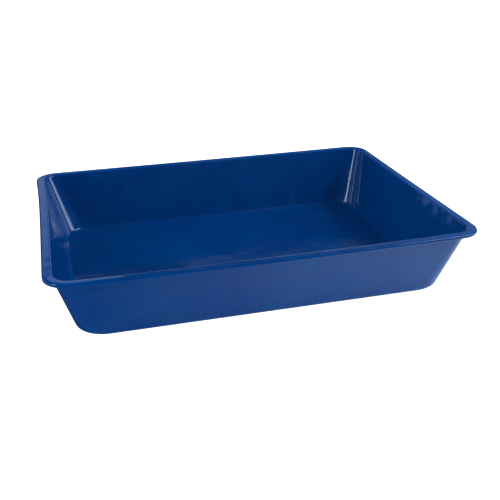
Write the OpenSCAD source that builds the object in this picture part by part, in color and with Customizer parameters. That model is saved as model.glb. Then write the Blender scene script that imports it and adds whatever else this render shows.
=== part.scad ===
// Mud pan: a one-piece moulded tray with sloping walls and a beaded rim,
// and the steel rod that the rim bead is moulded round.
// Millimetres. X runs along the length, Y along the width, Z is up.
// The origin is the middle of the base, on the surface that the pan stands on.

/* [Pan] */
// Length over the rim
pan_l = 610; // [560:1:660]
// Width over the rim
pan_w = 457; // [420:1:500]
// Height from the standing surface to the top of the rim
pan_h = 101; // [90:1:115]
// How far a wall leans out between the base and the top of the rim
wall_lean = 26.8; // [22:0.1:34]
// Thickness of the floor and walls
wall_t = 3; // [2.5:0.1:3.5]
// Outside radius of the upright corners, just under the rim
corner_top_r = 27; // [24:1:36]
// Outside radius of the upright corners, at the base
corner_foot_r = 40; // [34:1:44]
// Outside radius between the base and the walls
foot_r = 9; // [7:0.5:12]

/* [Rim] */
// How far the rim bead stands out from the outside of the wall
rim_out = 10; // [8:0.1:12]
// Height of the rim bead's outer edge
rim_h = 5.6; // [5.4:0.1:8]
// Outside radius of the rim's corners, seen from above
rim_corner_r = 33; // [30:1:40]
// Radius of the edge between the top of the rim and its outer face
rim_edge_r = 3; // [2:0.1:3.2]
// Radius of the edge under the rim's outer face
rim_under_r = 1.6; // [1:0.1:2]
// Radius of the edge between the top of the rim and the inside of the wall
mouth_r = 3; // [1.5:0.1:3]

/* [Rim rod] */
// Diameter of the steel rod inside the rim bead
rod_d = 3; // [2:0.1:3.2]
// Distance from the rim's outer face to the middle of the rod
rod_inset = 4.6; // [4:0.1:5]
// Space left between the two ends of the rod, at the middle of the rear side
rod_gap = 6; // [2:1:20]

/* [Smoothness] */
// Steps around each upright corner
corner_steps = 12; // [6:1:16]
// Steps along each small edge radius
edge_steps = 5; // [3:1:7]

/* [Hidden] */

// The angle that the walls lean back from upright
lean = atan(wall_lean / pan_h);
// A sideways step through the wall's thickness
wall_across = wall_t / cos(lean);
rim_under_z = pan_h - rim_h;
rod_z = pan_h - rim_h / 2;
rod_bend_r = rim_corner_r - rod_inset;

// Section of the pan, as points of [inset from the rim's outer face, height, corner radius].
// It starts on the base, goes up the outside, over the rim, and down the inside to the floor.

// Inset of the outside of the wall at height z, before the foot is rounded
function wall_inset(z) = rim_out + wall_lean * (1 - z / pan_h);

// Inset of the middle of the foot's radius
foot_inset = wall_inset(0) + foot_r / tan((90 + lean) / 2);

// An arc about the foot's middle, from below it to where it meets the wall
function foot_arc(r) = [for (i = [0 : edge_steps + 1])
    let (a = 90 - (90 - lean) * i / (edge_steps + 1))
    [foot_inset - r * cos(a), foot_r - r * sin(a), corner_foot_r - foot_r + r]];

// An arc on the rim bead, about [inset, z], from angle a0 to a1, with 0 pointing outwards
function rim_arc(inset, z, r, a0, a1) = [for (i = [0 : edge_steps])
    let (a = a0 + (a1 - a0) * i / edge_steps, x = inset - r * cos(a))
    [x, z + r * sin(a), rim_radius(x)]];

// Corner radius of the rim, from its outer face to the inside of the wall
function rim_radius(inset) = rim_corner_r
    + (corner_top_r - wall_t - rim_corner_r) * inset / (rim_out + wall_across);

// Outside corner radius of the wall at height z
function wall_radius(z) = corner_foot_r + (corner_top_r - corner_foot_r) * z / pan_h;

mouth_inset = rim_out + wall_across + mouth_r * tan(lean) - mouth_r / cos(lean);

outside = concat(
    foot_arc(foot_r),
    [[wall_inset(rim_under_z), rim_under_z, wall_radius(rim_under_z)]],
    rim_arc(rim_under_r, rim_under_z + rim_under_r, rim_under_r, -90, 0),
    rim_arc(rim_edge_r, pan_h - rim_edge_r, rim_edge_r, 0, 90)
);
inside = concat(
    rim_arc(mouth_inset, pan_h - mouth_r, mouth_r, 90, 180 - lean),
    [for (i = [edge_steps + 1 : -1 : 0]) foot_arc(foot_r - wall_t)[i]]
);
section = concat(outside, inside);

// The points of one rounded rectangle, level at height z
function ring(inset, z, r) = [for (corner = [0 : 3], step = [0 : corner_steps])
    let (
        a = 90 * (corner + step / corner_steps),
        side_x = corner == 0 || corner == 3 ? 1 : -1,
        side_y = corner < 2 ? 1 : -1
    )
    [
        side_x * (pan_l / 2 - inset - r) + r * cos(a),
        side_y * (pan_w / 2 - inset - r) + r * sin(a),
        z
    ]];

// Skins a stack of rings of n points each, and closes it at both ends
module skin(points, n) {
    rings = len(points) / n;
    sides = [for (k = [0 : rings - 2], i = [0 : n - 1])
        let (a = k * n + i, b = k * n + (i + 1) % n)
        each [[a, a + n, b], [b, a + n, b + n]]];
    first_cap = [for (i = [0 : n - 1]) i];
    last_cap = [for (i = [n - 1 : -1 : 0]) (rings - 1) * n + i];
    polyhedron(points, concat([first_cap], sides, [last_cap]), convexity = 6);
}

// One straight length of the rod, centred on the X axis
module rod_length(length) {
    rotate([0, 90, 0]) cylinder(h = length, d = rod_d, center = true, $fn = 48);
}

// One rounded bend of the rod
module rod_bend() {
    rotate_extrude(angle = 90, $fn = 96) translate([rod_bend_r, 0]) circle(d = rod_d, $fn = 48);
}

// The rod: one bar bent round all four corners, with its ends facing at the rear
module rod_solid() {
    run_x = pan_l - 2 * rim_corner_r;
    run_y = pan_w - 2 * rim_corner_r;
    end_run = (run_x - rod_gap) / 2;
    translate([0, 0, rod_z]) {
        translate([0, rod_inset - pan_w / 2, 0]) rod_length(run_x);
        for (side = [-1, 1]) {
            translate([side * (rod_gap + end_run) / 2, pan_w / 2 - rod_inset, 0]) rod_length(end_run);
            translate([side * (pan_l / 2 - rod_inset), 0, 0]) rotate([0, 0, 90]) rod_length(run_y);
        }
        for (quarter = [0 : 3]) {
            side_x = quarter == 0 || quarter == 3 ? 1 : -1;
            side_y = quarter < 2 ? 1 : -1;
            translate([side_x * run_x / 2, side_y * run_y / 2, 0])
                rotate([0, 0, 90 * quarter]) rod_bend();
        }
    }
}

module pan_shell() {
    color("#00408c") difference() {
        skin([for (p = section) each ring(p[0], p[1], p[2])], 4 * (corner_steps + 1));
        rod_solid();
    }
}

module rim_rod() {
    color("silver") rod_solid();
}

pan_shell();
rim_rod();
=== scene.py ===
import math

import bmesh
import bpy
from mathutils import Matrix, Vector


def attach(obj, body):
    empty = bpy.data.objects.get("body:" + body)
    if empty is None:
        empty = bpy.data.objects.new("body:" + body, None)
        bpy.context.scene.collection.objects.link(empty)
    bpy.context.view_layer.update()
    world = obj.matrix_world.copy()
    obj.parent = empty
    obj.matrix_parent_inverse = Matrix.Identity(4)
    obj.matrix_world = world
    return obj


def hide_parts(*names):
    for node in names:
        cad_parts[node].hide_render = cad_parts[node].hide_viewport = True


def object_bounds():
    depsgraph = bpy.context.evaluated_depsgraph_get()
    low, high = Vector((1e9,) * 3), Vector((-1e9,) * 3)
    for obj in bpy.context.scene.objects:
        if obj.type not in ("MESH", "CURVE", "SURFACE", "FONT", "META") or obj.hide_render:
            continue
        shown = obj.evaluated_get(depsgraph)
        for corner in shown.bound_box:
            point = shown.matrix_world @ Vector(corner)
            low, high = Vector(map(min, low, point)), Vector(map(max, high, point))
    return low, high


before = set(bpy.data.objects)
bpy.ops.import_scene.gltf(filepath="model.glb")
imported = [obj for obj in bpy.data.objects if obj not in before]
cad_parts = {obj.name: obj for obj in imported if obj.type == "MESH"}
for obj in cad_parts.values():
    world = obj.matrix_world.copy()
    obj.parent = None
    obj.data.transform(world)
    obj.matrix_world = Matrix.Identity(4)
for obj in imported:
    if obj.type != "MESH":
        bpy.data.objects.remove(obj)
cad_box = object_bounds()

MM = 0.001

# ---- sizes of the pan: the box comes from the frame, and the section repeats the CAD part's ----

HALF_L = cad_box[1].x
HALF_W = cad_box[1].y
HEIGHT = cad_box[1].z

WALL_T = 3 * MM
WALL_LEAN = 26.8 * MM
CORNER_TOP_R = 27 * MM
CORNER_FOOT_R = 40 * MM
FOOT_R = 9 * MM
RIM_OUT = 10 * MM
RIM_H = 5.6 * MM
RIM_CORNER_R = 33 * MM
RIM_EDGE_R = 3 * MM
RIM_UNDER_R = 1.6 * MM
MOUTH_R = 3 * MM
ROD_R = 1.5 * MM
ROD_INSET = 4.6 * MM
ROD_GAP = 6 * MM

LEAN = math.atan(WALL_LEAN / HEIGHT)
LEAN_DEGREES = math.degrees(LEAN)
WALL_ACROSS = WALL_T / math.cos(LEAN)
RIM_UNDER_Z = HEIGHT - RIM_H

# ---- where the moulding is softer than the CAD part ----

# How far the top of the rim has fallen where it meets the mouth, and its slope there in degrees
CROWN = 0.35 * MM
CROWN_SLOPE = 5
# The crook between the outside of the wall and the underside of the rim
CROOK_H = 1.2 * MM
CROOK_W = 1.0 * MM

# ---- how the moulded pan has warped: its sides bow in and sag between the corners ----

BOW_LEFT = 2.3 * MM
BOW_LEFT_REAR = 2.0 * MM
BOW_RIGHT = 1.0 * MM
BOW_REAR = 0.2 * MM
SAG_FRONT = 2.6 * MM
SAG_REAR = 0.6 * MM
SAG_LEFT = 0.4 * MM

# The warp goes from none to full between these fractions of the way from the middle to a side
WARP_START = 0.4
WARP_FULL = 0.93
# The warp grows as this power of the height
WARP_POWER = 1.5

# ---- how finely the pieces are meshed ----

CORNER_STEPS = 14
LONG_STEPS = 24
SHORT_STEPS = 18
FOOT_STEPS = 6
UNDER_STEPS = 3
EDGE_STEPS = 6
CROWN_STEPS = 4
MOUTH_STEPS = 6
OUTER_WALL_STEPS = 10
INNER_WALL_STEPS = 12
BASE_STEPS = 4
# The rings run in this far from the foot, and a grid fills the rest of the base and floor
BASE_RUN = 45 * MM
ROD_SIDES = 12

# ---- colours ----

WHITE = (1, 1, 1, 1)
DEEP_BLUE = (0.0, 0.031, 0.152, 1)
SEA_BLUE = (0.0, 0.037, 0.155, 1)
PALE_BLUE = (0.0, 0.043, 0.185, 1)
DARK_BLUE = (0.0, 0.024, 0.115, 1)
# Painted light: a lighter blue for the top of the rim, standing in for the light that falls on its upward
# face
PAINTED_TOP_LIGHT_BLUE = (0.0, 0.055, 0.240, 1)
# A lighter blue for worn edges and fine scratches, and for the painted reflection in the right wall's
# patch
WORN_AND_SHEEN_BLUE = (0.030, 0.095, 0.300, 1)
DARK_STEEL = (0.42, 0.43, 0.44, 1)
PALE_STEEL = (0.6, 0.61, 0.62, 1)
RUST_BROWN = (0.16, 0.07, 0.03, 1)

# ---- surface of the plastic ----

PLASTIC_IOR = 1.5
RIPPLE_DEPTH = 0.5 * MM
PEEL_DEPTH = 0.02 * MM

# The patch high on the inside of the right wall: rougher where it is scuffed, and painted lighter as a
# painted reflection of the backdrop. Each pair is where it has faded out, and where it is at full
# strength.
SCUFF_SHEEN_SIDE_X = (HALF_L - 29 * MM, HALF_L - 23 * MM)
SCUFF_SHEEN_FRONT_Y = (-175 * MM, -150 * MM)
SCUFF_SHEEN_REAR_Y = (-35 * MM, -60 * MM)
SCUFF_SHEEN_LOW_Z = (HEIGHT - 21 * MM, HEIGHT - 8 * MM)
SCUFF_SHEEN_TOP_Z = (HEIGHT, HEIGHT - 3 * MM)

# ---- lights: places and distances are in metres ----

COOL_WHITE = (0.8, 0.95, 1.1)
LIGHT_DISTANCE = 15
# The widest that one flat panel may look from the pan, in degrees
PANEL_SPAN = 22
OVERHEAD_PLACE = (0.1, -0.08, 0.45)
OVERHEAD_SIZE = 0.3
OVERHEAD_RADIANCE = 1.7
# The world as it lights the pan, as the gloss reflects it, and as the camera sees it
WORLD_FILL = 0.22
WORLD_REFLECTED = 0.016
WORLD_SEEN = 1.1

# ---- floor ----

FLOOR_SIZE = 60
# How far the floor lies under the pan, because two faces at one height would show through each other
FLOOR_GAP = 0.3 * MM
FLOOR_GREY = (0.6, 0.6, 0.6, 1)
FLOOR_GLOW = 1.2
# Painted light: in reflections the floor goes from the first shade to the second between these two places
# along X, darker on the left as if lit from the right
FLOOR_SHADES = (0.08, 1.05)
FLOOR_SHADE_X = (-0.26, 0.26)
# In reflections the floor is black nearer the camera than the first place along Y, and not past the second
FLOOR_DARK_Y = (-0.42, -0.32)

# ---- camera: angles in degrees round the pan's origin, then metres ----

CAMERA_AZIMUTH = -15.08
CAMERA_ELEVATION = 24.06
CAMERA_ROLL = -0.61
CAMERA_DISTANCE = 1.25047
CAMERA_ACROSS = 0.01967
CAMERA_ABOVE = 0.0134
CAMERA_CLIP = (0.05, 60)
SENSOR_MM = 36
LENS_MM = 55.15


# ---- shape ----

def wall_inset(z):
    """Inset of the outside of the wall from the rim's outer face, at height z."""
    return RIM_OUT + WALL_LEAN * (1 - z / HEIGHT)


def wall_corner_r(z):
    """Outside radius of the upright corners at height z."""
    return CORNER_FOOT_R + (CORNER_TOP_R - CORNER_FOOT_R) * z / HEIGHT


def rim_corner_r(inset):
    """Corner radius of the rim, from its outer face to the inside of the wall."""
    return RIM_CORNER_R + (CORNER_TOP_R - WALL_T - RIM_CORNER_R) * inset / (RIM_OUT + WALL_ACROSS)


def arc(inset, z, r, start, end, steps):
    """Points (inset, z) on an arc about (inset, z); 0 degrees points outwards and 90 points up."""
    turns = [math.radians(start + (end - start) * i / steps) for i in range(steps + 1)]
    return [(inset - r * math.cos(a), z + r * math.sin(a)) for a in turns]


def between(a, b, steps):
    """Evenly spaced tuples from a to b, without the two ends."""
    return [tuple(p + (q - p) * i / steps for p, q in zip(a, b)) for i in range(1, steps)]


def near_side(t):
    """How far a point is towards a side, from 0 well inside to 1 on the rim, level at both ends."""
    t = max(0, min(1, (t - WARP_START) / (WARP_FULL - WARP_START)))
    return t * t * (3 - 2 * t)


def warp(point):
    """Where the warped pan has a point of the straight one; the base stays flat."""
    x, y = point.x / HALF_L, point.y / HALF_W
    high = max(0, min(1, point.z / HEIGHT)) ** WARP_POWER
    left, right, front, rear = (near_side(t) for t in (-x, x, -y, y))
    mid_x, mid_y = 1 - x * x, 1 - y * y
    move = Vector((
        mid_y * (left * (BOW_LEFT + BOW_LEFT_REAR * y) - right * BOW_RIGHT),
        -mid_x * rear * BOW_REAR,
        -mid_x * (front * SAG_FRONT + rear * SAG_REAR) - mid_y * left * SAG_LEFT,
    ))
    return point + move * high


def ring(inset, z, r):
    """One rounded rectangle of points at height z, starting on the right side and turning left."""
    x, y = HALF_L - inset - r, HALF_W - inset - r
    corners = (
        (x, y, 0, LONG_STEPS),
        (-x, y, 90, SHORT_STEPS),
        (-x, -y, 180, LONG_STEPS),
        (x, -y, 270, SHORT_STEPS),
    )
    rounds = []
    for cx, cy, start, _ in corners:
        turns = [math.radians(start + 90 * i / CORNER_STEPS) for i in range(CORNER_STEPS + 1)]
        rounds.append([Vector((cx + r * math.cos(a), cy + r * math.sin(a), z)) for a in turns])
    points = []
    for k in range(4):
        first, last, steps = rounds[k][-1], rounds[(k + 1) % 4][0], corners[k][3]
        points += rounds[k] + [first.lerp(last, i / steps) for i in range(1, steps)]
    return points


def foot_rows(r, corner_r, start, end):
    """Rows of the pan's skin round the foot, each as (inset, height, corner radius)."""
    foot_inset = wall_inset(0) + FOOT_R / math.tan((math.pi / 2 + LEAN) / 2)
    return [(x, z, corner_r) for x, z in arc(foot_inset, FOOT_R, r, start, end, FOOT_STEPS)]


def rim_rows():
    """Rows of the pan's skin over the rim, from its underside to the inside of the wall."""
    lip_inset = RIM_OUT + WALL_ACROSS + (MOUTH_R + CROWN) * math.tan(LEAN) - MOUTH_R / math.cos(LEAN)
    under = arc(RIM_UNDER_R, RIM_UNDER_Z + RIM_UNDER_R, RIM_UNDER_R, -90, 0, UNDER_STEPS)
    edge = arc(RIM_EDGE_R, HEIGHT - RIM_EDGE_R, RIM_EDGE_R, 0, 90, EDGE_STEPS)
    lip_z = HEIGHT - CROWN - MOUTH_R
    lip = arc(lip_inset, lip_z, MOUTH_R, 90 + CROWN_SLOPE, 180 - LEAN_DEGREES, MOUTH_STEPS)
    crown = []
    for step in range(1, CROWN_STEPS):
        t = step / CROWN_STEPS
        crown.append((RIM_EDGE_R + (lip[0][0] - RIM_EDGE_R) * t, HEIGHT - CROWN * t * t))
    return [(x, z, rim_corner_r(x)) for x, z in under + edge + crown + lip]


def shell_rows():
    """All rows of the pan's skin: from the base, up the outside, over the rim, and to the floor."""
    outer_foot = foot_rows(FOOT_R, CORNER_FOOT_R, -90, -LEAN_DEGREES)
    inner_foot = foot_rows(FOOT_R - WALL_T, CORNER_FOOT_R - WALL_T, -LEAN_DEGREES, -90)
    crook_z = RIM_UNDER_Z - CROOK_H
    crook = [
        (wall_inset(crook_z), crook_z, wall_corner_r(crook_z)),
        (wall_inset(RIM_UNDER_Z) - CROOK_W, RIM_UNDER_Z, wall_corner_r(RIM_UNDER_Z) + CROOK_W),
    ]
    rim = rim_rows()
    base_inset = outer_foot[0][0] + BASE_RUN
    base_edge = (base_inset, 0, CORNER_FOOT_R)
    floor_edge = (base_inset, WALL_T, CORNER_FOOT_R)
    return (
        [base_edge] + between(base_edge, outer_foot[0], BASE_STEPS) + outer_foot
        + between(outer_foot[-1], crook[0], OUTER_WALL_STEPS) + crook + rim
        + between(rim[-1], inner_foot[0], INNER_WALL_STEPS) + inner_foot
        + between(inner_foot[-1], floor_edge, BASE_STEPS) + [floor_edge]
    )


def fill_ring(bm, loop, upwards):
    """Closes a ring of vertices with a grid that blends between its four sides."""
    half = CORNER_STEPS // 2
    across, along = LONG_STEPS + CORNER_STEPS, SHORT_STEPS + CORNER_STEPS
    loop = loop[half:] + loop[:half]
    top = loop[:across + 1][::-1]
    left = loop[across:across + along + 1][::-1]
    bottom = loop[across + along:2 * across + along + 1]
    right = loop[2 * across + along:] + loop[:1]

    def inside(i, j):
        """A new vertex, i steps across and j steps along the grid."""
        u, v = i / across, j / along
        sides = bottom[i].co.lerp(top[i].co, v) + left[j].co.lerp(right[j].co, u)
        ends = bottom[0].co.lerp(bottom[-1].co, u).lerp(top[0].co.lerp(top[-1].co, u), v)
        return bm.verts.new(sides - ends)

    grid = [bottom]
    for j in range(1, along):
        grid.append([left[j]] + [inside(i, j) for i in range(1, across)] + [right[j]])
    grid.append(top)
    for low, high in zip(grid, grid[1:]):
        for i in range(across):
            face = (low[i], low[i + 1], high[i + 1], high[i])
            bm.faces.new(face if upwards else face[::-1])


def rod_rings():
    """Rings of points round the rod, from one end at the rear to the other."""
    path = ring(ROD_INSET, HEIGHT - RIM_H / 2, RIM_CORNER_R - ROD_INSET)
    half_gap = ROD_GAP / 2
    rear_y = HALF_W - ROD_INSET
    rear_left = Vector((-half_gap, rear_y, path[0].z))
    rear_right = Vector((half_gap, rear_y, path[0].z))
    split = next(i for i, p in enumerate(path) if p.x < -half_gap)
    bar = [p for p in path[split:] + path[:split] if p.y < 0 or abs(p.x) > half_gap]
    route = [rear_left, *bar, rear_right]
    rings = []
    for k, p in enumerate(route):
        ahead = (route[min(k + 1, len(route) - 1)] - route[max(k - 1, 0)]).normalized()
        side = ahead.cross(Vector((0, 0, 1))) * ROD_R
        upright = Vector((0, 0, ROD_R))
        turns = [math.tau * i / ROD_SIDES for i in range(ROD_SIDES)]
        rings.append([p + side * math.cos(a) + upright * math.sin(a) for a in turns])
    return rings


def add_tube(bm, rings, inside_out):
    """Adds a closed tube through the rings; inside out, it is a hollow in the solid around it."""
    loops = [[bm.verts.new(warp(p)) for p in points] for points in rings]
    for a, b in zip(loops, loops[1:]):
        for i in range(ROD_SIDES):
            j = (i + 1) % ROD_SIDES
            face = (a[i], b[i], b[j], a[j])
            bm.faces.new(face[::-1] if inside_out else face)
    for end, flip in ((loops[0], inside_out), (loops[-1], not inside_out)):
        bm.faces.new(end[::-1] if flip else end)


def make_piece(name, bm):
    """Turns a bmesh into a smooth object with one level of subdivision."""
    for face in bm.faces:
        face.smooth = True
    mesh = bpy.data.meshes.new(name)
    bm.to_mesh(mesh)
    bm.free()
    piece = bpy.data.objects.new(name, mesh)
    bpy.context.scene.collection.objects.link(piece)
    smooth = piece.modifiers.new("smooth", "SUBSURF")
    smooth.levels = smooth.render_levels = 1
    return piece


def build_shell():
    """The moulded shell as one closed mesh, with the hollow that the rod lies in."""
    bm = bmesh.new()
    loops = [[bm.verts.new(p) for p in ring(*row)] for row in shell_rows()]
    count = len(loops[0])
    for lower, upper in zip(loops, loops[1:]):
        for i in range(count):
            j = (i + 1) % count
            bm.faces.new((lower[i], lower[j], upper[j], upper[i]))
    fill_ring(bm, loops[0], False)
    fill_ring(bm, loops[-1], True)
    for vert in bm.verts:
        vert.co = warp(vert.co)
    add_tube(bm, rod_rings(), True)
    return make_piece("pan_shell_skin", bm)


def build_rod():
    """The steel rod that fills the hollow in the rim."""
    bm = bmesh.new()
    add_tube(bm, rod_rings(), False)
    return make_piece("rim_rod_bar", bm)


# ---- materials ----

class NodeKit:
    """A node tree, and the kinds of node that this script puts in one."""

    def __init__(self, tree):
        self.links = tree.links
        self.nodes = tree.nodes

    def add(self, kind, sockets=None, **settings):
        """Adds a node of this kind, sets it up, and feeds its sockets with values or links."""
        node = self.nodes.new("ShaderNode" + kind)
        for key, value in settings.items():
            setattr(node, key, value)
        for key, value in (sockets or {}).items():
            self.feed(node.inputs[key], value)
        return node

    def feed(self, socket, value):
        """Links the socket to another socket, or sets it to a plain value."""
        if isinstance(value, bpy.types.NodeSocket):
            self.links.new(value, socket)
        else:
            socket.default_value = value

    def ramp(self, value, start, end, low=0, high=1, easing="SMOOTHSTEP"):
        """Goes from low, where the value is at start, to high, where it is at end."""
        sockets = {"Value": value, "From Min": start, "From Max": end, "To Min": low, "To Max": high}
        return self.add("MapRange", sockets, interpolation_type=easing).outputs[0]

    def combine(self, operation, total, *values):
        """Takes each value in turn into the total, with a Math node of this kind."""
        for value in values:
            total = self.add("Math", {0: total, 1: value}, operation=operation).outputs[0]
        return total

    def times(self, *factors):
        """The product of the factors."""
        return self.combine("MULTIPLY", *factors)


class Recipe(NodeKit):
    """A new material, and the textures that it is mixed from."""

    def __init__(self, name):
        self.material = bpy.data.materials.new(name)
        self.material.use_nodes = True
        super().__init__(self.material.node_tree)
        self.shader = self.nodes["Principled BSDF"]
        self.place = self.add("TexCoord").outputs["Object"]

    def noise(self, scale, detail=2, stretch=(1, 1, 1)):
        """About this many blotches to the metre; a stretch below 1 draws them out along that axis."""
        place = self.add("Mapping", {"Vector": self.place, "Scale": stretch}).outputs[0]
        return self.add("TexNoise", {"Vector": place, "Scale": scale, "Detail": detail}).outputs["Fac"]

    def blend(self, amount, under, over):
        """Covers one colour with another by this amount."""
        return self.add("Mix", {0: amount, 6: under, 7: over}, data_type="RGBA").outputs[2]

    def bump(self, height, depth, under=None):
        """Raises the surface by up to this depth where the height is 1."""
        sockets = {"Height": height, "Distance": depth, "Strength": 1}
        if under:
            sockets["Normal"] = under
        return self.add("Bump", sockets).outputs[0]

    def surface(self, **sockets):
        """Feeds the shader's sockets, with an underscore for each space in a name."""
        for key, value in sockets.items():
            self.feed(self.shader.inputs[key.replace("_", " ")], value)


def plastic():
    """Glossy blue plastic: cloudy in colour, slightly rippled, with scuffs and worn edges. The top of the
    rim is painted lighter as painted light, and the patch high on the right wall is painted lighter as a
    painted reflection.
    """
    mix = Recipe("blue_plastic")
    x, y, z = mix.add("SeparateXYZ", {0: mix.place}).outputs

    clouds = mix.ramp(mix.noise(4.5), 0.35, 0.65)
    pale_clouds = mix.ramp(mix.noise(11, 5), 0.42, 0.7, high=0.6)
    dark_streaks = mix.ramp(mix.noise(120, 5, (0.35, 1, 1)), 0.38, 0.68, high=0.35)
    # Painted light: the top of the rim is painted lighter, as if lit more strongly from above
    rim_top_painted_light = mix.ramp(z, HEIGHT - 2.5 * MM, HEIGHT - 0.5 * MM, high=0.8)
    wear = mix.times(
        mix.ramp(z, RIM_UNDER_Z, HEIGHT),
        mix.ramp(mix.noise(130, 6), 0.6, 0.8),
    )
    fine_lines = mix.times(
        mix.ramp(mix.noise(600, 3, (0.012, 1, 1)), 0.62, 0.8),
        mix.ramp(mix.noise(9), 0.4, 0.65),
    )
    # Painted reflection: the patch on the right wall is painted lighter where the backdrop would reflect;
    # its added roughness is a real scuff
    scuff_and_painted_sheen = mix.times(
        mix.ramp(x, *SCUFF_SHEEN_SIDE_X),
        mix.ramp(y, *SCUFF_SHEEN_FRONT_Y),
        mix.ramp(y, *SCUFF_SHEEN_REAR_Y),
        mix.ramp(z, *SCUFF_SHEEN_LOW_Z),
        mix.ramp(z, *SCUFF_SHEEN_TOP_Z),
        mix.ramp(mix.noise(1200, 2, (1, 1, 0.08)), 0.25, 0.6),
        mix.ramp(mix.noise(60, 4), 0.3, 0.6),
    )
    color = mix.blend(clouds, DEEP_BLUE, SEA_BLUE)
    color = mix.blend(pale_clouds, color, PALE_BLUE)
    color = mix.blend(dark_streaks, color, DARK_BLUE)
    color = mix.blend(rim_top_painted_light, color, PAINTED_TOP_LIGHT_BLUE)
    for mark, strength in ((wear, 0.45), (fine_lines, 0.2), (scuff_and_painted_sheen, 0.6)):
        color = mix.blend(mix.times(mark, strength), color, WORN_AND_SHEEN_BLUE)

    polish = mix.ramp(mix.noise(30, 5, (0.25, 1, 1)), 0.4, 0.7, 0.06, 0.2)
    marks = mix.combine("MAXIMUM", wear, scuff_and_painted_sheen, fine_lines)
    ripple = mix.bump(mix.noise(24, 1), RIPPLE_DEPTH)
    mix.surface(
        Base_Color=color,
        Roughness=mix.combine("ADD", polish, mix.times(marks, 0.3)),
        Normal=mix.bump(mix.noise(330, 2), PEEL_DEPTH, ripple),
        IOR=PLASTIC_IOR,
    )
    return mix.material


def steel():
    """Drawn steel: a fine grain, and dull spots of rust."""
    mix = Recipe("rod_steel")
    rust = mix.ramp(mix.noise(90, 5), 0.58, 0.68)
    color = mix.blend(mix.ramp(mix.noise(40, 3), 0.4, 0.7), DARK_STEEL, PALE_STEEL)
    mix.surface(
        Base_Color=mix.blend(rust, color, RUST_BROWN),
        Metallic=mix.ramp(rust, 0, 1, 1, 0.1),
        Roughness=mix.ramp(rust, 0, 1, 0.32, 0.85),
        Normal=mix.bump(mix.noise(900, 2), 0.03 * MM),
    )
    return mix.material


# ---- studio ----

def softbox(name, azimuths, elevations, radiance, fill=True, shine=True):
    """Flat area lights that cover a span of directions and of heights, in degrees, seen from the pan.

    Azimuth 0 is straight behind the pan and 90 is to its right. Radiance is what a mirror would show.
    Without fill they only show in reflections, and without shine they only light.
    """
    count = math.ceil((azimuths[1] - azimuths[0]) / PANEL_SPAN)
    width = math.radians(azimuths[1] - azimuths[0]) / count
    height = math.radians(elevations[1] - elevations[0])
    elevation = math.radians(sum(elevations) / 2)
    for k in range(count):
        azimuth = math.radians(azimuths[0]) + width * (k + 0.5)
        towards = Vector((
            math.sin(azimuth) * math.cos(elevation),
            math.cos(azimuth) * math.cos(elevation),
            math.sin(elevation),
        ))
        data = bpy.data.lights.new(name, "AREA")
        data.shape = "RECTANGLE"
        data.size = 2 * LIGHT_DISTANCE * math.tan(width / 2) * math.cos(elevation)
        data.size_y = 2 * LIGHT_DISTANCE * math.tan(height / 2)
        data.energy = radiance * math.pi * data.size * data.size_y
        data.color = COOL_WHITE
        light = bpy.data.objects.new(name, data)
        light.location = towards * LIGHT_DISTANCE
        light.rotation_mode = "QUATERNION"
        light.rotation_quaternion = towards.to_track_quat("Z", "Y")
        light.visible_diffuse = fill
        light.visible_glossy = shine
        bpy.context.scene.collection.objects.link(light)


def overhead():
    """A small soft lamp close above the pan, that lights the middle of its floor most."""
    data = bpy.data.lights.new("overhead", "AREA")
    data.size = OVERHEAD_SIZE
    data.energy = OVERHEAD_RADIANCE * math.pi * OVERHEAD_SIZE ** 2
    light = bpy.data.objects.new("overhead", data)
    light.location = OVERHEAD_PLACE
    light.visible_glossy = False
    bpy.context.scene.collection.objects.link(light)


def make_lights():
    """The key lights are on the right, with strips on the left and dim screens behind the pan."""
    softbox("key_right_high", azimuths=(99, 141), elevations=(34, 51), radiance=8.5)
    softbox("key_right_fill", azimuths=(95, 135), elevations=(33, 50), radiance=3, shine=False)
    softbox("key_right_edge", azimuths=(141, 148.5), elevations=(34, 44), radiance=4.5)
    softbox("key_right_low", azimuths=(93, 112), elevations=(10, 26), radiance=5)
    softbox("low_right_fill", azimuths=(75, 110), elevations=(12, 30), radiance=4.5, shine=False)
    softbox("strip_left", azimuths=(-108, -99), elevations=(12, 50), radiance=8)
    softbox("fill_left", azimuths=(-120, -80), elevations=(20, 38), radiance=3.5, shine=False)
    softbox("bounce_left", azimuths=(-96, -36), elevations=(-2, 19), radiance=0.8)
    softbox("screen_left", azimuths=(-14, 4), elevations=(-2, 24.8), radiance=0.45, fill=False)
    softbox("horizon_right", azimuths=(4, 60), elevations=(-3, 14), radiance=0.5, fill=False)
    softbox("horizon_rim", azimuths=(14, 24), elevations=(14, 18.5), radiance=0.4, fill=False)
    softbox("glow_near", azimuths=(24, 60), elevations=(18, 21.5), radiance=0.13, fill=False)
    softbox("glow_gap", azimuths=(23.8, 26), elevations=(21.5, 24.3), radiance=0.2, fill=False)
    softbox("glow_rim", azimuths=(26, 60), elevations=(21.5, 30), radiance=0.27, fill=False)
    softbox("glow_low", azimuths=(9.5, 26), elevations=(24.3, 30), radiance=0.13, fill=False)
    softbox("glow_high", azimuths=(9.5, 60), elevations=(30, 45), radiance=0.13, fill=False)
    overhead()


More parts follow.
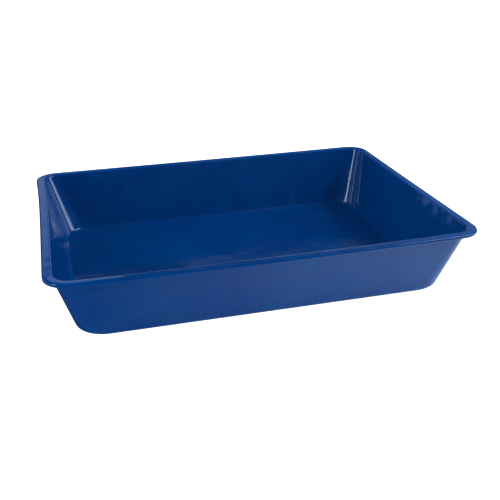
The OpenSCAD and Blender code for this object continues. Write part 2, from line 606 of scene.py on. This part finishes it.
def make_camera():
    """A camera in front of the pan and a little to its left, that looks down on it."""
    azimuth, elevation = math.radians(CAMERA_AZIMUTH), math.radians(CAMERA_ELEVATION)
    roll = math.radians(CAMERA_ROLL)
    back = Vector((
        math.sin(azimuth) * math.cos(elevation),
        -math.cos(azimuth) * math.cos(elevation),
        math.sin(elevation),
    ))
    level = Vector((math.cos(azimuth), math.sin(azimuth), 0))
    upright = back.cross(level)
    right = level * math.cos(roll) + upright * math.sin(roll)
    up = back.cross(right)
    data = bpy.data.cameras.new("camera")
    data.sensor_width = SENSOR_MM
    data.lens = LENS_MM
    data.clip_start, data.clip_end = CAMERA_CLIP
    camera = bpy.data.objects.new("camera", data)
    camera.matrix_world = Matrix((right, up, back)).transposed().to_4x4()
    camera.location = back * CAMERA_DISTANCE + right * CAMERA_ACROSS + up * CAMERA_ABOVE
    bpy.context.scene.collection.objects.link(camera)
    bpy.context.scene.camera = camera


def make_floor():
    """A white floor, clear from below. Reflections see it dimmer on the pan's left than on its right, a
    painted light falloff.
    """
    bpy.ops.mesh.primitive_plane_add(size=FLOOR_SIZE, location=(0, 0, -FLOOR_GAP))
    floor = bpy.context.object
    floor.name = "floor"
    material = bpy.data.materials.new("floor")
    material.use_nodes = True
    kit = NodeKit(material.node_tree)
    kit.nodes.clear()

    place = kit.add("NewGeometry").outputs
    x, y, _ = kit.add("SeparateXYZ", {0: place["Position"]}).outputs
    # Painted light: the reflected floor is painted darker towards the pan's left
    shade = kit.times(
        kit.ramp(x, *FLOOR_SHADE_X, *FLOOR_SHADES, easing="LINEAR"),
        kit.ramp(y, *FLOOR_DARK_Y, easing="LINEAR"),
    )
    graded = kit.add("BsdfDiffuse", {"Color": shade}).outputs[0]
    plain = kit.add("BsdfDiffuse", {"Color": FLOOR_GREY}).outputs[0]
    glow = kit.add("Emission", {"Strength": FLOOR_GLOW}).outputs[0]
    bright = kit.add("AddShader", {0: plain, 1: glow}).outputs[0]
    reflected = kit.add("LightPath").outputs["Is Glossy Ray"]
    above = kit.add("MixShader", {0: reflected, 1: bright, 2: graded}).outputs[0]
    below = kit.add("BsdfTransparent").outputs[0]
    sided = kit.add("MixShader", {0: place["Backfacing"], 1: above, 2: below}).outputs[0]
    kit.add("OutputMaterial", {"Surface": sided})
    floor.data.materials.append(material)


def make_world():
    """Even soft light from all round. Reflections see a dark studio, and the camera a white one."""
    world = bpy.data.worlds.new("studio")
    world.use_nodes = True
    world.cycles.sampling_method = "NONE"
    kit = NodeKit(world.node_tree)
    path = kit.add("LightPath").outputs
    background = kit.nodes["Background"]
    kit.feed(background.inputs["Color"], WHITE)
    kit.feed(background.inputs["Strength"], WORLD_FILL)
    studio = background.outputs[0]
    for ray, strength in (("Is Glossy Ray", WORLD_REFLECTED), ("Is Camera Ray", WORLD_SEEN)):
        shown = kit.add("Background", {"Color": WHITE, "Strength": strength}).outputs[0]
        studio = kit.add("MixShader", {0: path[ray], 1: studio, 2: shown}).outputs[0]
    kit.feed(kit.nodes["World Output"].inputs["Surface"], studio)
    bpy.context.scene.world = world


make_camera()
make_world()
make_floor()
make_lights()

shell = build_shell()
shell.data.materials.append(plastic())
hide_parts("pan_shell")
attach(shell, "root")

rod = build_rod()
rod.data.materials.append(steel())
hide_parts("rim_rod")
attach(rod, "root")

bpy.context.scene.view_settings.view_transform = "Standard"
